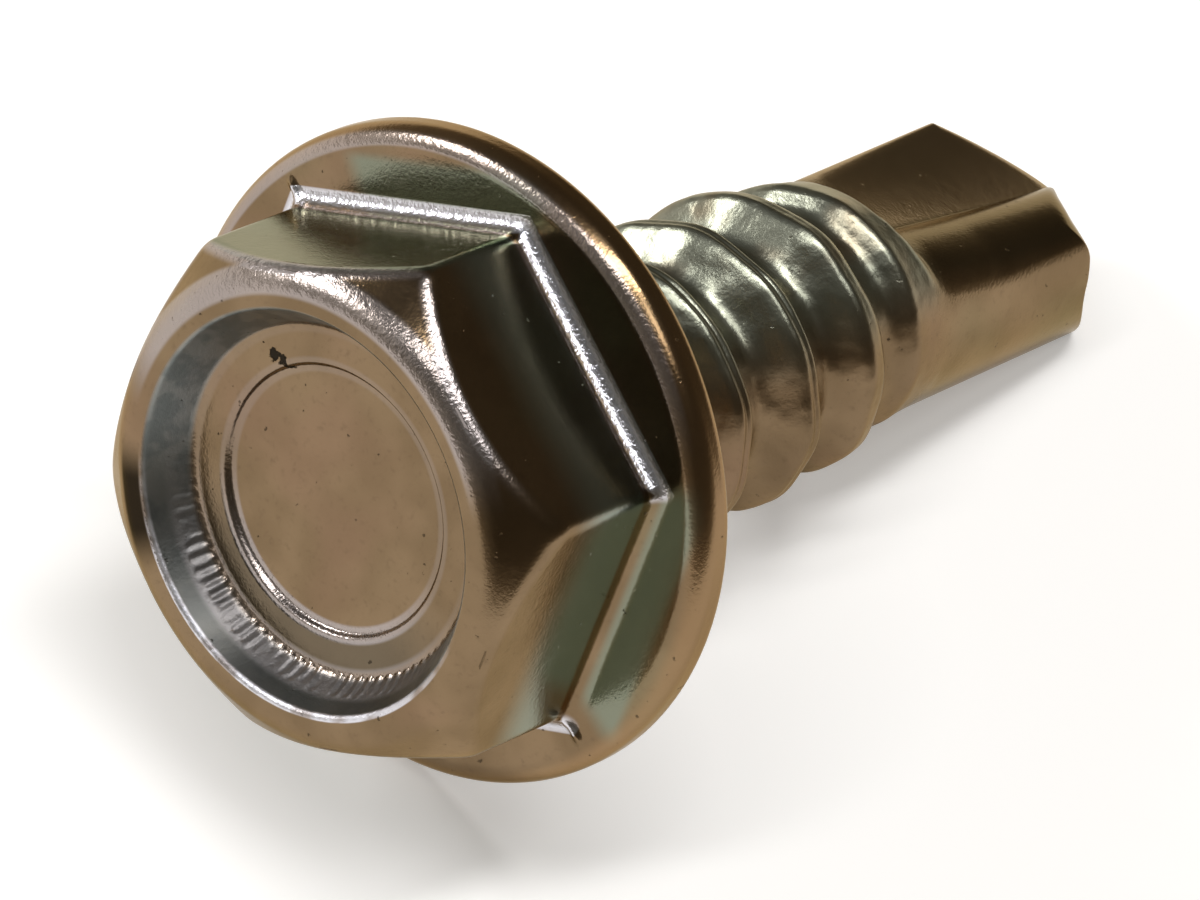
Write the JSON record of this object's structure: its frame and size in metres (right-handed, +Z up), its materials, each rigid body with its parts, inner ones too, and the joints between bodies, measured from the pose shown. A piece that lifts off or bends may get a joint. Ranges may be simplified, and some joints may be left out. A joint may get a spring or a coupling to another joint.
{
  "type": "self drilling screw",
  "caption": "Hex washer head self-drilling screw with an indented head, a coarse right-hand thread and a fluted drill point, zinc plated.",
  "frame": {"origin": "on the surface that the screw lies on, under the middle of its bounding box", "axes": "+Z up from that surface; the screw's axis lies in the XZ plane and runs from the head to the tip along +X, dipping 16.5 degrees below the horizontal, as a washer head screw rests; one flute of the point faces up; the middle of the bearing face under the washer is at x -4.01 mm, z 4.11 mm"},
  "size_m": [0.0158, 0.0086, 0.0084],
  "materials": {
    "zinc_plate": "gloss"
  },
  "bodies": {
    "root": {"screw": "zinc_plate"}
  },
  "joints": []
}
